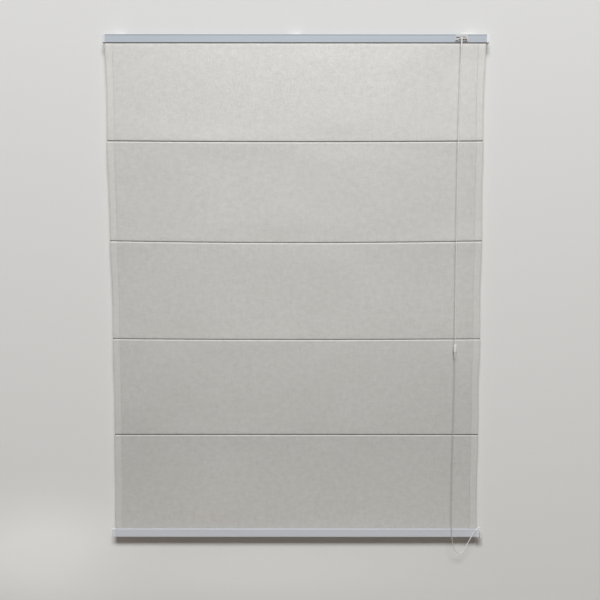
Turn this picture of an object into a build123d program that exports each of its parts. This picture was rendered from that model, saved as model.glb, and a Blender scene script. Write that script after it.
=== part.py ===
# A cord-operated roman blind: head rail with cord lock, ribbed cloth, bottom bar and pull cord.
# The wall is the plane y = 0, the room lies towards -y, and z = 0 is the height of the bracket screws.
from build123d import *
import os
from math import cos, radians, sin, tan

os.makedirs("parts", exist_ok=True)

# Head rail
blind_width = 1200.0
rail_height = 25.0
rail_depth = 22.0
rail_wall = 1.3
rail_floor = 1.2
rail_lip = 4.5
rail_cap = 8.0
rail_edge_radius = 1.2
cap_bevel = 0.5
rail_reed_depth = 0.7
rail_reed_height = 1.2
rail_reed_drop = 1.6
wall_gap = 5.0
spigot_depth = 12.0
spigot_wall = 1.4
plug_clearance = 0.2

# Wall brackets
bracket_width = 30.0
bracket_steel = 1.5
bracket_drop = 11.0
bracket_inset = 50.0
bracket_bend_radius = 2.4
hook_thickness = 1.2
hook_reach = 1.7
hook_gap = 0.3
screw_hole_radius = 2.25
screw_spacing = 16.0

# Cloth and its ribs
cloth_inset = 10.0
cloth_thickness = 0.8
cloth_setback = 3.0
slot_gap = 0.5
top_panel = 300.0
panel_drop = 312.5
panel_count = 5
groove_height = 2.6
groove_depth = 1.7
hem_width = 23.0
hem_start = 1.5
rib_rod_radius = 2.0
rib_rod_inset = 10.0
rib_pocket_gap = 0.3
rib_setback = 4.8
spline_depth = 3.2
spline_height = 1.6
spline_inset = 4.0
keder_gap = 0.2
keder_roof = 1.0

# Bottom bar
bar_height = 26.0
bar_depth = 10.0
bar_wall = 1.2
bar_cap = 9.0
bar_edge_radius = 0.8
bar_reed_depth = 0.5
bar_reed_height = 1.0
bar_reed_inset = 2.6
tee_slot_mouth = 4.0
tee_slot_width = 7.0
tee_slot_depth = 1.6

# Cords, rings and guides
cord_radius = 0.7
column_inset = 150.0
lane_pitch = 1.8
lane_mid_y = -11.3
cord_run_z = 2.2
running_gap = 0.3
shaft_gap = 0.05
ring_wire = 0.6
ring_bore = 3.2
ring_foot_width = 8.0
ring_foot_height = 4.4
ring_foot_thickness = 0.9
guide_roller_radius = 4.0
guide_roller_width = 6.8
guide_rim = 0.5
guide_axle_radius = 1.3
guide_cheek = 1.1
guide_cheek_flare = 2.0
guide_side_gap = 0.3
guide_floor = 1.2
guide_length = 26.0
bush_wall = 1.1
bush_lip = 1.3
bush_drop = 1.5
anchor_width = 12.0
anchor_height = 9.0
anchor_back = 3.0
knot_radius = 1.8

# Cord lock
lock_inset = 87.5
lock_left = 19.0
lock_right = 21.0
lock_bezel = 1.6
lock_bezel_overlap = 2.0
lock_bezel_top = 10.0
lock_bezel_bottom = -9.4
lock_mouth_left = 6.5
lock_mouth_right = 14.5
lock_mouth_top = 4.3
lock_slot_left = 15.5
lock_slot_right = 17.5
lock_slot_height = 1.6
lock_wall = 1.2
lock_floor_setback = 2.0
lock_back_y = -8.2
turn_y = -10.4
turn_roller_radius = 3.2
turn_flange_radius = 4.4
turn_flange = 1.0
turn_pin_radius = 0.9
exit_roller_radius = 2.6
exit_pin_radius = 0.8
exit_reach = 6.8
fan_straight = 2.2
ear_thickness = 1.6
cam_radius = 3.6
cam_hub_radius = 2.0
cam_pin_radius = 0.8
cam_width = 7.6
cam_y = -22.6
cam_teeth = 6
cam_tooth_depth = 0.5
cam_sector = 96.0
cam_tooth_slant = 0.8
deck_drop = 2.4
tab_left = -1.0
tab_right = 18.5
tab_rise = 6.0
tab_catch = 0.8

# Condenser, pull cord and tassel
strand_sway = 4.2
strand_bow = 3.1
strand_bow_z = -405.0
condenser_top_z = -955.0
condenser_radius = 4.4
condenser_length = 22.0
condenser_wall = 1.2
condenser_cap_radius = 3.4
condenser_cap_length = 19.0
condenser_tip_radius = 2.0
pull_cord_radius = 1.0
tassel_radius = 4.6
tassel_neck_radius = 2.2
tassel_length = 29.0
tassel_wall = 1.2
tassel_neck_slope = (0.3, -1.0)
tassel_foot_slope = (-0.6, -1.0)

# Route of the pull cord below its start: distance from the blind's right end, distance behind
# the front face of the bar, and height over the bar's top edge
pull_route_points = [
    (-90.1, -4.8, 426.5),
    (-94.2, -4.6, 246.5),
    (-97.4, -4.2, 82.5),
    (-95.0, -3.8, -10.5),
    (-90.5, -3.6, -43.5),
    (-82.0, -3.6, -67.5),
    (-69.0, -3.6, -81.0),
    (-55.0, -3.6, -75.0),
    (-43.0, -3.6, -53.5),
    (-31.0, -3.6, -30.5),
    (-20.0, -3.4, -10.5),
    (-11.5, -2.8, 0.5),
    (-6.0, 0.0, 4.9),
    (0.5, 3.0, 4.9),
    (6.2, 5.0, 1.5),
    (6.2, 5.0, -6.5),
]

# Places worked out from the sizes
blind_end = blind_width / 2
bracket_pitch = blind_end - bracket_inset
column_pitch = blind_end - column_inset
lock_x = blind_end - lock_inset
cloth_width = blind_width - 2 * cloth_inset
rail_back = -wall_gap
rail_front = rail_back - rail_depth
rail_top = rail_height / 2
rail_bottom = -rail_height / 2
rail_half = blind_end - rail_cap
rail_inner_front = rail_front + rail_wall
rail_inner_back = rail_back - rail_wall
rail_inner_top = rail_top - rail_wall
rail_inner_floor = rail_bottom + rail_floor

cloth_y = rail_front + cloth_setback
cloth_front = cloth_y - cloth_thickness / 2
cloth_back = cloth_y + cloth_thickness / 2
slot_half = cloth_thickness / 2 + slot_gap
keder_depth = spline_depth + 2 * cloth_thickness
keder_height = spline_height + 2 * cloth_thickness
keder_inner_back = rail_inner_front + keder_depth + 2 * keder_gap
keder_web_back = keder_inner_back + rail_floor
keder_y = (rail_inner_front + keder_inner_back) / 2
keder_roof_z = rail_inner_floor + keder_height + 2 * keder_gap
channel_floor = keder_roof_z + keder_roof
top_keder_z = rail_inner_floor + keder_height / 2

cloth_drop = top_panel + (panel_count - 1) * panel_drop
rib_count = panel_count - 1
rib_heights = [rail_bottom - top_panel - i * panel_drop for i in range(rib_count)]
rib_y = cloth_y + rib_setback
pocket_inner = rib_rod_radius + rib_pocket_gap
pocket_outer = pocket_inner + cloth_thickness

bar_top = rail_bottom - cloth_drop
bar_bottom = bar_top - bar_height
bar_front = cloth_y - bar_depth / 2
bar_back = bar_front + bar_depth
bar_half = blind_end - bar_cap
bar_pocket_top = bar_top - bar_wall
bar_keder_z = bar_pocket_top - keder_height / 2
bar_web_top = bar_pocket_top - keder_height - 2 * keder_gap
bar_web_bottom = bar_web_top - bar_wall
tee_z = (bar_top + bar_bottom) / 2
tee_back = bar_back - bar_wall
tee_front = tee_back - tee_slot_depth

columns = [("left", -column_pitch, -1), ("centre", 0.0, 0), ("right", column_pitch, 1)]
cord_reach = cord_radius + running_gap
guide_turn = guide_roller_radius + cord_reach
guide_axis_z = cord_run_z - guide_turn
turn_radius = turn_roller_radius + cord_reach
exit_radius = exit_roller_radius + cord_reach
strand_y = rail_front - exit_reach
exit_axis_y = strand_y + exit_radius
exit_axis_z = cord_run_z - exit_radius
turn_axis_x = lock_x - turn_radius
turn_axis_y = turn_y - turn_radius
fan_offset = 0.75 * lane_pitch
cam_pin_z = cord_run_z + fan_offset + cord_reach + cam_radius
deck_top = rail_inner_top - deck_drop
fan_start_y = turn_axis_y - fan_straight
fan_end_y = exit_axis_y + fan_straight + cord_reach
condenser_x = lock_x - strand_sway
condenser_bottom_z = condenser_top_z - condenser_length
cap_foot_z = condenser_bottom_z - condenser_cap_length


def lane_y(lane):
    """The depth at which the cord of one column runs along the rail."""
    return lane_mid_y + lane * lane_pitch


def lane_z(lane):
    """The height at which the cord of one column goes round the turning roller."""
    return cord_run_z - lane * lane_pitch


def fan_z(lane):
    """The height of a cord half way between lying beside and lying over the middle cord."""
    return cord_run_z - lane * fan_offset


def area(y0, z0, y1, z1, mode=Mode.ADD):
    """A rectangle between two corners of the section."""
    with Locations(((y0 + y1) / 2, (z0 + z1) / 2)):
        Rectangle(abs(y1 - y0), abs(z1 - z0), mode=mode)


def block(x0, y0, z0, x1, y1, z1, mode=Mode.ADD):
    """A box between two corners."""
    with Locations(((x0 + x1) / 2, (y0 + y1) / 2, (z0 + z1) / 2)):
        Box(abs(x1 - x0), abs(y1 - y0), abs(z1 - z0), mode=mode)


def save(piece, name):
    """Name a finished piece and write it."""
    piece.part.label = name
    export_step(piece.part, f"parts/{name}.step")


# Head rail
with BuildPart() as head_rail:
    with BuildSketch(Plane.YZ) as rail_section:
        area(rail_front, rail_bottom, rail_back, rail_top)
        fillet(rail_section.vertices(), rail_edge_radius)
        area(rail_inner_front, channel_floor, rail_inner_back, rail_inner_top, Mode.SUBTRACT)
        area(keder_web_back, rail_inner_floor, rail_inner_back, rail_inner_top, Mode.SUBTRACT)
        area(rail_inner_front, rail_inner_floor, keder_inner_back, keder_roof_z, Mode.SUBTRACT)
        area(cloth_y - slot_half, rail_bottom, cloth_y + slot_half, rail_inner_floor, Mode.SUBTRACT)
        area(rail_front + rail_lip, rail_inner_top, rail_back - rail_lip, rail_top, Mode.SUBTRACT)
        reed_top = rail_top - rail_reed_drop
        area(rail_front, reed_top - rail_reed_height, rail_front + rail_reed_depth, reed_top, Mode.SUBTRACT)
    extrude(amount=rail_half, both=True)
    # Window for the cord lock
    window_top = lock_bezel_top - lock_bezel_overlap
    block(
        lock_x - lock_left + lock_bezel_overlap, rail_front, channel_floor,
        lock_x + lock_right - lock_bezel_overlap, rail_inner_front, window_top,
        Mode.SUBTRACT,
    )
    # Slots in the floor for the cord guides' bushes
    bush_half_x = cord_reach + bush_wall
    bush_half_y = lane_pitch + cord_reach + bush_wall
    with BuildSketch(Plane.XY.offset(rail_bottom)):
        for _, column_x, _ in columns:
            with Locations((column_x, lane_mid_y)):
                SlotOverall(2 * bush_half_y, 2 * bush_half_x, rotation=90)
    extrude(amount=rail_floor, mode=Mode.SUBTRACT)
save(head_rail, "head_rail")

# End caps of the head rail, with a hollow spigot that plugs into the channel
for side_name, side in (("left", -1), ("right", 1)):
    with BuildPart() as rail_end_cap:
        with BuildSketch(Plane.YZ.offset(side * rail_half)) as cap_section:
            area(rail_front, rail_bottom, rail_back, rail_top)
            fillet(cap_section.vertices(), rail_edge_radius)
        extrude(amount=side * rail_cap)
        outer_face = rail_end_cap.faces().sort_by(Axis.X)[-1 if side > 0 else 0]
        chamfer(outer_face.edges(), cap_bevel)
        with BuildSketch(Plane.YZ.offset(side * rail_half)):
            spigot_front = rail_inner_front + plug_clearance
            spigot_back = rail_inner_back - plug_clearance
            spigot_bottom = channel_floor + plug_clearance
            spigot_top = rail_inner_top - plug_clearance
            area(spigot_front, spigot_bottom, spigot_back, spigot_top)
            area(
                spigot_front + spigot_wall, spigot_bottom + spigot_wall,
                spigot_back - spigot_wall, spigot_top - spigot_wall, Mode.SUBTRACT,
            )
        extrude(amount=-side * spigot_depth)
    save(rail_end_cap, f"rail_end_cap_{side_name}")

# Wall brackets: a wall plate, a flange over the rail and two hooks under the rail's lips
for place_name, place in (("left", -1), ("centre", 0), ("right", 1)):
    with BuildPart() as wall_bracket:
        flange_top = rail_top + bracket_steel
        front_leg = rail_front + rail_lip + hook_gap
        back_leg = rail_back - rail_lip - hook_gap
        hook_bottom = rail_inner_top - hook_thickness
        with BuildSketch(Plane.YZ.offset(place * bracket_pitch)) as bracket_section:
            area(-bracket_steel, -bracket_drop, 0, flange_top)
            area(front_leg, rail_top, 0, flange_top)
            corner = bracket_section.vertices().sort_by(lambda v: v.X + v.Y)[-1]
            fillet(corner, bracket_bend_radius)
            area(front_leg, hook_bottom, front_leg + bracket_steel, rail_top)
            area(front_leg - hook_reach, hook_bottom, front_leg, rail_inner_top)
            area(back_leg - bracket_steel, hook_bottom, back_leg, rail_top)
            area(back_leg, hook_bottom, back_leg + hook_reach, rail_inner_top)
        extrude(amount=bracket_width / 2, both=True)
        plate_corners = wall_bracket.edges().filter_by(Axis.Y).group_by(Axis.Z)[0]
        fillet(plate_corners, 3 * bracket_steel)
        with BuildSketch(Plane.XZ):
            with Locations((place * bracket_pitch, 0)):
                with GridLocations(screw_spacing, 0, 2, 1):
                    Circle(screw_hole_radius)
        extrude(amount=bracket_steel, mode=Mode.SUBTRACT)
    save(wall_bracket, f"wall_bracket_{place_name}")

# Cloth: one profile from the rail to the bar, with a pinched groove and a rod pocket at each rib
with BuildPart() as fabric:
    with BuildSketch(Plane.YZ) as cloth_section:
        area(cloth_front, bar_keder_z, cloth_back, top_keder_z)
        for rib_z in rib_heights:
            groove_back = cloth_front + groove_depth
            lump_back = groove_back + cloth_thickness / 2
            lump_half = groove_height / 2 + cloth_thickness
            with BuildLine():
                Polyline(
                    (cloth_back, rib_z + lump_half), (lump_back, rib_z + cloth_thickness),
                    (rib_y, rib_z + cloth_thickness), (rib_y, rib_z - cloth_thickness),
                    (lump_back, rib_z - cloth_thickness), (cloth_back, rib_z - lump_half),
                    close=True,
                )
            make_face()
            with Locations((rib_y, rib_z)):
                Circle(pocket_outer)
                Circle(pocket_inner, mode=Mode.SUBTRACT)
            with BuildLine():
                Polyline(
                    (cloth_front, rib_z + groove_height / 2), (groove_back, rib_z),
                    (cloth_front, rib_z - groove_height / 2), close=True,
                )
            make_face(mode=Mode.SUBTRACT)
        for loop_z, loop_y in ((top_keder_z, keder_y), (bar_keder_z, cloth_y)):
            with Locations((loop_y, loop_z)):
                Rectangle(keder_depth, keder_height)
                Rectangle(spline_depth, spline_height, mode=Mode.SUBTRACT)
    extrude(amount=cloth_width / 2, both=True)
    # Side hems turned to the back, one length on each panel
    hem_tops = [rail_bottom - hem_start] + [z - pocket_outer for z in rib_heights]
    hem_feet = [z + pocket_outer for z in rib_heights] + [bar_top + hem_start]
    for side in (-1, 1):
        for hem_top, hem_foot in zip(hem_tops, hem_feet):
            block(
                side * cloth_width / 2, cloth_back, hem_foot,
                side * (cloth_width / 2 - hem_width), cloth_back + cloth_thickness, hem_top,
            )
save(fabric, "fabric")

# Flat splines that hold the cloth's ends in the rail and the bar
for spline_name, spline_y, spline_z in (
    ("top_spline", keder_y, top_keder_z),
    ("bottom_spline", cloth_y, bar_keder_z),
):
    with BuildPart() as spline:
        with BuildSketch(Plane.YZ):
            with Locations((spline_y, spline_z)):
                Rectangle(spline_depth, spline_height)
        extrude(amount=cloth_width / 2 - spline_inset, both=True)
    save(spline, spline_name)

# Rib rods and the rings sewn behind them
for rib_number, rib_z in enumerate(rib_heights, start=1):
    with BuildPart() as rib_rod:
        with BuildSketch(Plane.YZ):
            with Locations((rib_y, rib_z)):
                Circle(rib_rod_radius)
        extrude(amount=cloth_width / 2 - rib_rod_inset, both=True)
    save(rib_rod, f"rib_rod_{rib_number}")

    with BuildPart() as cord_rings:
        foot_front = rib_y + pocket_outer + running_gap
        ring_path_radius = ring_bore + ring_wire
        ring_y = foot_front + ring_foot_thickness + ring_path_radius
        for _, column_x, _ in columns:
            with BuildSketch(Plane.XZ.offset(-foot_front)):
                with Locations((column_x, rib_z)):
                    RectangleRounded(ring_foot_width, ring_foot_height, ring_foot_height / 4)
            extrude(amount=-ring_foot_thickness)
            with Locations((column_x, ring_y, rib_z)):
                Torus(ring_path_radius, ring_wire)
    save(cord_rings, f"cord_rings_{rib_number}")

# Bottom bar
with BuildPart() as bottom_bar:
    with BuildSketch(Plane.YZ) as bar_section:
        area(bar_front, bar_bottom, bar_back, bar_top)
        fillet(bar_section.vertices(), bar_edge_radius)
        area(bar_front + bar_wall, bar_web_top, bar_back - bar_wall, bar_pocket_top, Mode.SUBTRACT)
        area(cloth_y - slot_half, bar_pocket_top, cloth_y + slot_half, bar_top, Mode.SUBTRACT)
        area(bar_front + bar_wall, bar_bottom + bar_wall, bar_back - bar_wall, bar_web_bottom, Mode.SUBTRACT)
        area(
            tee_front - bar_wall, tee_z - tee_slot_width / 2 - bar_wall,
            tee_back, tee_z + tee_slot_width / 2 + bar_wall,
        )
        area(tee_front, tee_z - tee_slot_width / 2, tee_back, tee_z + tee_slot_width / 2, Mode.SUBTRACT)
        area(tee_back, tee_z - tee_slot_mouth / 2, bar_back, tee_z + tee_slot_mouth / 2, Mode.SUBTRACT)
        for reed_z in (bar_top - bar_reed_inset, bar_bottom + bar_reed_inset):
            area(
                bar_front, reed_z - bar_reed_height / 2,
                bar_front + bar_reed_depth, reed_z + bar_reed_height / 2, Mode.SUBTRACT,
            )
    extrude(amount=bar_half, both=True)
save(bottom_bar, "bottom_bar")

# End caps of the bottom bar
for side_name, side in (("left", -1), ("right", 1)):
    with BuildPart() as bar_end_cap:
        with BuildSketch(Plane.YZ.offset(side * bar_half)) as cap_section:
            area(bar_front, bar_bottom, bar_back, bar_top)
            fillet(cap_section.vertices(), bar_edge_radius)
        extrude(amount=side * bar_cap)
        outer_face = bar_end_cap.faces().sort_by(Axis.X)[-1 if side > 0 else 0]
        chamfer(outer_face.edges(), cap_bevel)
        with BuildSketch(Plane.YZ.offset(side * bar_half)):
            area(
                bar_front + bar_wall + plug_clearance, bar_bottom + bar_wall + plug_clearance,
                tee_front - bar_wall - plug_clearance, bar_web_bottom - plug_clearance,
            )
        extrude(amount=-side * spigot_depth)
    save(bar_end_cap, f"bar_end_cap_{side_name}")

# Cord anchors: a foot in the bar's T-slot and an ear behind it, with a hole over the cord's knot
for column_name, column_x, lane in columns:
    with BuildPart() as cord_anchor:
        anchor_bottom = tee_z - anchor_height / 2
        anchor_top = tee_z + anchor_height / 2
        anchor_rear = lane_y(lane) + anchor_back
        block(
            column_x - anchor_width / 2, bar_back, anchor_bottom,
            column_x + anchor_width / 2, anchor_rear, anchor_top,
        )
        rear_edges = cord_anchor.edges().filter_by(Axis.Z).group_by(Axis.Y)[-1]
        fillet(rear_edges, anchor_back - cord_reach)
        neck_half = tee_slot_mouth / 2 - plug_clearance
        head_half = tee_slot_width / 2 - plug_clearance
        block(
            column_x - anchor_width / 2, tee_back - plug_clearance, tee_z - neck_half,
            column_x + anchor_width / 2, bar_back, tee_z + neck_half,
        )
        block(
            column_x - anchor_width / 2, tee_front + plug_clearance, tee_z - head_half,
            column_x + anchor_width / 2, tee_back - plug_clearance, tee_z + head_half,
        )
        with BuildSketch(Plane.XY.offset(anchor_bottom)):
            with Locations((column_x, lane_y(lane))):
                Circle(cord_reach)
        extrude(amount=anchor_height, mode=Mode.SUBTRACT)
    save(cord_anchor, f"cord_anchor_{column_name}")

# Cord guides in the rail's floor: a bush through the floor and two cheeks that carry the roller
for column_name, column_x, lane in columns:
    axle_x = column_x + guide_turn
    half_roller = guide_roller_width / 2
    cheek_inner = half_roller + guide_side_gap
    cheek_outer = cheek_inner + guide_cheek
    plate_start = column_x - bush_half_x - bush_lip
    with BuildPart() as cord_guide:
        block(
            plate_start, lane_mid_y - cheek_outer, rail_inner_floor,
            plate_start + guide_length, lane_mid_y + cheek_outer, rail_inner_floor + guide_floor,
        )
        for cheek_side in (-1, 1):
            cheek_face = lane_mid_y + cheek_side * cheek_inner
            with BuildSketch(Plane.XZ.offset(-cheek_face)):
                with BuildLine():
                    cheek_half = guide_roller_radius - guide_rim
                    foot_half = cheek_half + guide_cheek_flare
                    Polyline(
                        (axle_x + cheek_half, guide_axis_z),
                        (axle_x + foot_half, rail_inner_floor),
                        (axle_x - foot_half, rail_inner_floor),
                        (axle_x - cheek_half, guide_axis_z),
                    )
                    ThreePointArc(
                        (axle_x - cheek_half, guide_axis_z),
                        (axle_x, guide_axis_z + cheek_half),
                        (axle_x + cheek_half, guide_axis_z),
                    )
                make_face()
                with Locations((axle_x, guide_axis_z)):
                    Circle(guide_axle_radius + shaft_gap, mode=Mode.SUBTRACT)
            extrude(amount=-cheek_side * guide_cheek)
        # Bush, with a lip under the rail's floor
        with BuildSketch(Plane.XY.offset(rail_bottom - bush_drop)):
            with Locations((column_x, lane_mid_y)):
                SlotOverall(
                    2 * (bush_half_y + bush_lip), 2 * (bush_half_x + bush_lip), rotation=90
                )
        extrude(amount=bush_drop)
        with BuildSketch(Plane.XY.offset(rail_bottom)):
            with Locations((column_x, lane_mid_y)):
                SlotOverall(
                    2 * (bush_half_y - plug_clearance), 2 * (bush_half_x - plug_clearance),
                    rotation=90,
                )
        extrude(amount=rail_floor)
        with BuildSketch(Plane.XY.offset(rail_bottom - bush_drop)):
            with Locations((column_x, lane_mid_y)):
                SlotOverall(2 * (lane_pitch + cord_reach), 2 * cord_reach, rotation=90)
        extrude(amount=bush_drop + rail_floor + guide_floor, mode=Mode.SUBTRACT)
    save(cord_guide, f"cord_guide_{column_name}")

    # Waisted roller with its stub axles
    with BuildPart() as guide_roller:
        with BuildSketch(Plane.XY.offset(guide_axis_z)) as roller_profile:
            with BuildLine():
                rim_radius = guide_roller_radius + guide_rim
                rim_inner = half_roller - guide_rim
                axle_end = cheek_outer
                Polyline(
                    (axle_x, lane_mid_y - axle_end),
                    (axle_x + guide_axle_radius, lane_mid_y - axle_end),
                    (axle_x + guide_axle_radius, lane_mid_y - half_roller),
                    (axle_x + rim_radius, lane_mid_y - half_roller),
                    (axle_x + guide_roller_radius, lane_mid_y - rim_inner),
                    (axle_x + guide_roller_radius, lane_mid_y + rim_inner),
                    (axle_x + rim_radius, lane_mid_y + half_roller),
                    (axle_x + guide_axle_radius, lane_mid_y + half_roller),
                    (axle_x + guide_axle_radius, lane_mid_y + axle_end),
                    (axle_x, lane_mid_y + axle_end),
                    close=True,
                )
            make_face()
        revolve(axis=Axis((axle_x, lane_mid_y, guide_axis_z), (0, 1, 0)))
    save(guide_roller, f"guide_roller_{column_name}")

# Cord lock: floor, back wall, deck, cheeks, ears and a bezel with a tab over the rail's top edge
lock_start = lock_x - lock_left
lock_end = lock_x + lock_right
window_start = lock_start + lock_bezel_overlap + plug_clearance
window_end = lock_end - lock_bezel_overlap - plug_clearance
mouth_start = lock_x - lock_mouth_left
mouth_end = lock_x + lock_mouth_right
mouth_bottom = exit_axis_z - exit_roller_radius - running_gap
bezel_front = rail_front - lock_bezel
lock_floor_top = channel_floor + lock_wall
cam_half = cam_width / 2 + running_gap
ear_front = strand_y + cord_reach
with BuildPart() as lock_housing:
    block(
        window_start, rail_inner_front + lock_floor_setback, channel_floor,
        window_end, lock_back_y + lock_wall, lock_floor_top,
    )
    block(window_start, lock_back_y, channel_floor, window_end, lock_back_y + lock_wall, deck_top)
    # Deck over the turning roller
    block(
        turn_axis_x - turn_flange_radius, turn_axis_y - turn_flange_radius, deck_top - lock_wall,
        turn_axis_x + turn_flange_radius, lock_back_y, deck_top,
    )
    # Cheeks that carry the cam
    for cheek_side in (-1, 1):
        cheek_face = lock_x + cheek_side * cam_half
        block(
            cheek_face, cam_y - cam_hub_radius, channel_floor,
            cheek_face + cheek_side * lock_wall, cam_y + cam_hub_radius, cam_pin_z + cam_hub_radius,
        )
    # Anvil under the cords, below the cam
    block(
        lock_x - cam_half, cam_y - cam_hub_radius / 2, channel_floor,
        lock_x + cam_half, cam_y + cam_hub_radius / 2, cord_run_z - fan_offset - cord_reach,
    )
    # Ears that carry the exit roller
    for ear_face in (mouth_start - ear_thickness, mouth_end):
        block(
            ear_face, ear_front, channel_floor + lock_slot_height,
            ear_face + ear_thickness, rail_inner_front + lock_floor_setback + lock_wall,
            exit_axis_z + exit_roller_radius,
        )
        block(
            ear_face, rail_inner_front + lock_floor_setback, channel_floor,
            ear_face + ear_thickness, rail_inner_front + lock_floor_setback + lock_wall,
            exit_axis_z,
        )
    ear_edges = lock_housing.edges().filter_by(Axis.X).group_by(Axis.Y)[0]
    fillet(ear_edges, exit_roller_radius / 2)
    # Bezel on the face of the rail, with the mouth and the lower slots
    with BuildSketch(Plane.XZ.offset(-rail_front)) as bezel_outline:
        area(lock_start, lock_bezel_bottom, lock_end, lock_bezel_top)
        fillet(bezel_outline.vertices(), lock_bezel_overlap)
        area(lock_x + tab_left, 0, lock_x + tab_right, rail_top + tab_rise)
        area(mouth_start, lock_mouth_top, mouth_end, mouth_bottom, Mode.SUBTRACT)
        area(
            lock_x - lock_slot_left, channel_floor,
            lock_x + lock_slot_right, channel_floor + lock_slot_height, Mode.SUBTRACT,
        )
    extrude(amount=lock_bezel)
    tab_edges = lock_housing.edges().filter_by(Axis.Y).group_by(Axis.Z)[-1]
    fillet(tab_edges, lock_bezel)
    # Catch of the tab, over the rail's front lip
    catch_back = rail_front + rail_lip + hook_gap
    block(
        lock_x + tab_left, rail_front, rail_top,
        lock_x + tab_right, catch_back + lock_wall, rail_top + lock_wall,
    )
    block(
        lock_x + tab_left, catch_back, rail_inner_top - tab_catch,
        lock_x + tab_right, catch_back + lock_wall, rail_top,
    )
    # Web that joins the bezel to the back wall
    block(
        window_end - lock_wall, rail_front, channel_floor,
        window_end, lock_back_y, window_top - plug_clearance,
    )
    # Bores for the three pins
    with BuildSketch(Plane.XY.offset(channel_floor)):
        with Locations((turn_axis_x, turn_axis_y)):
            Circle(turn_pin_radius)
    extrude(amount=deck_top - channel_floor, mode=Mode.SUBTRACT)
    with BuildSketch(Plane.YZ.offset(mouth_start - ear_thickness)):
        with Locations((exit_axis_y, exit_axis_z)):
            Circle(exit_pin_radius)
    extrude(amount=mouth_end - mouth_start + 2 * ear_thickness, mode=Mode.SUBTRACT)
    with BuildSketch(Plane.YZ.offset(lock_x - cam_half - lock_wall)):
        with Locations((cam_y, cam_pin_z)):
            Circle(cam_pin_radius)
    extrude(amount=2 * (cam_half + lock_wall), mode=Mode.SUBTRACT)
save(lock_housing, "lock_housing")

# Pins of the cord lock, pressed into the housing
with BuildPart() as turning_pin:
    with BuildSketch(Plane.XY.offset(channel_floor)):
        with Locations((turn_axis_x, turn_axis_y)):
            Circle(turn_pin_radius)
    extrude(amount=deck_top - channel_floor)
save(turning_pin, "turning_pin")

with BuildPart() as exit_pin:
    with BuildSketch(Plane.YZ.offset(mouth_start - ear_thickness)):
        with Locations((exit_axis_y, exit_axis_z)):
            Circle(exit_pin_radius)
    extrude(amount=mouth_end - mouth_start + 2 * ear_thickness)
save(exit_pin, "exit_pin")

with BuildPart() as cam_pin:
    with BuildSketch(Plane.YZ.offset(lock_x - cam_half - lock_wall)):
        with Locations((cam_y, cam_pin_z)):
            Circle(cam_pin_radius)
    extrude(amount=2 * (cam_half + lock_wall))
save(cam_pin, "cam_pin")

# Turning roller, flanged, on the upright pin
with BuildPart() as turning_roller:
    drum_bottom = lane_z(1) - cord_reach - running_gap
    drum_top = lane_z(-1) + cord_reach + running_gap
    with BuildSketch(Plane.XY.offset(drum_bottom)):
        with Locations((turn_axis_x, turn_axis_y)):
            Circle(turn_roller_radius)
    extrude(amount=drum_top - drum_bottom)
    for flange_z in (drum_bottom - turn_flange, drum_top):
        with BuildSketch(Plane.XY.offset(flange_z)):
            with Locations((turn_axis_x, turn_axis_y)):
                Circle(turn_flange_radius)
        extrude(amount=turn_flange)
    with BuildSketch(Plane.XY.offset(lock_floor_top + running_gap)):
        with Locations((turn_axis_x, turn_axis_y)):
            Circle(2 * turn_pin_radius)
    extrude(amount=drum_bottom - lock_floor_top - running_gap)
    with BuildSketch(Plane.XY.offset(channel_floor)):
        with Locations((turn_axis_x, turn_axis_y)):
            Circle(turn_pin_radius + shaft_gap)
    extrude(amount=rail_height, mode=Mode.SUBTRACT)
save(turning_roller, "turning_roller")

# Exit roller in the mouth, on the level pin
with BuildPart() as exit_roller:
    roller_start = mouth_start + running_gap
    with BuildSketch(Plane.YZ.offset(roller_start)):
        with Locations((exit_axis_y, exit_axis_z)):
            Circle(exit_roller_radius)
            Circle(exit_pin_radius + shaft_gap, mode=Mode.SUBTRACT)
    extrude(amount=mouth_end - mouth_start - 2 * running_gap)
save(exit_roller, "exit_roller")

# Locking cam, with teeth that grip the cords
with BuildPart() as lock_cam:
    with BuildSketch(Plane.YZ.offset(lock_x - cam_width / 2)) as cam_profile:
        tooth_angle = cam_sector / cam_teeth
        first_angle = 270 - cam_sector / 2
        outline = [(cam_y, cam_pin_z)]
        for tooth in range(cam_teeth):
            base = radians(first_angle + tooth * tooth_angle)
            crest = radians(first_angle + (tooth + cam_tooth_slant) * tooth_angle)
            root_radius = cam_radius - cam_tooth_depth
            outline.append((cam_y + root_radius * cos(base), cam_pin_z + root_radius * sin(base)))
            outline.append((cam_y + cam_radius * cos(crest), cam_pin_z + cam_radius * sin(crest)))
        with BuildLine():
            Polyline(*outline, close=True)
        make_face()
        with Locations((cam_y, cam_pin_z)):
            Circle(cam_hub_radius)
            Circle(cam_pin_radius + shaft_gap, mode=Mode.SUBTRACT)
    extrude(amount=cam_width)
save(lock_cam, "lock_cam")

# Condenser that joins the three lift cords to the pull cord
with BuildPart() as condenser_body:
    with BuildSketch(Plane.XY.offset(condenser_bottom_z)):
        with Locations((condenser_x, strand_y)):
            Circle(condenser_radius)
    extrude(amount=condenser_length)
    top_rim = condenser_body.edges().filter_by(GeomType.CIRCLE).sort_by(Axis.Z)[-1]
    fillet(top_rim, condenser_wall)
    with BuildSketch(Plane.XY.offset(condenser_bottom_z)):
        with Locations((condenser_x, strand_y)):
            Circle(condenser_radius - condenser_wall)
    extrude(amount=condenser_length - 2 * condenser_wall, mode=Mode.SUBTRACT)
    with BuildSketch(Plane.XY.offset(condenser_bottom_z)):
        with Locations((condenser_x, strand_y)):
            SlotOverall(2 * (lane_pitch + cord_reach), 2 * cord_reach)
    extrude(amount=condenser_length, mode=Mode.SUBTRACT)
save(condenser_body, "condenser_body")

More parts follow.
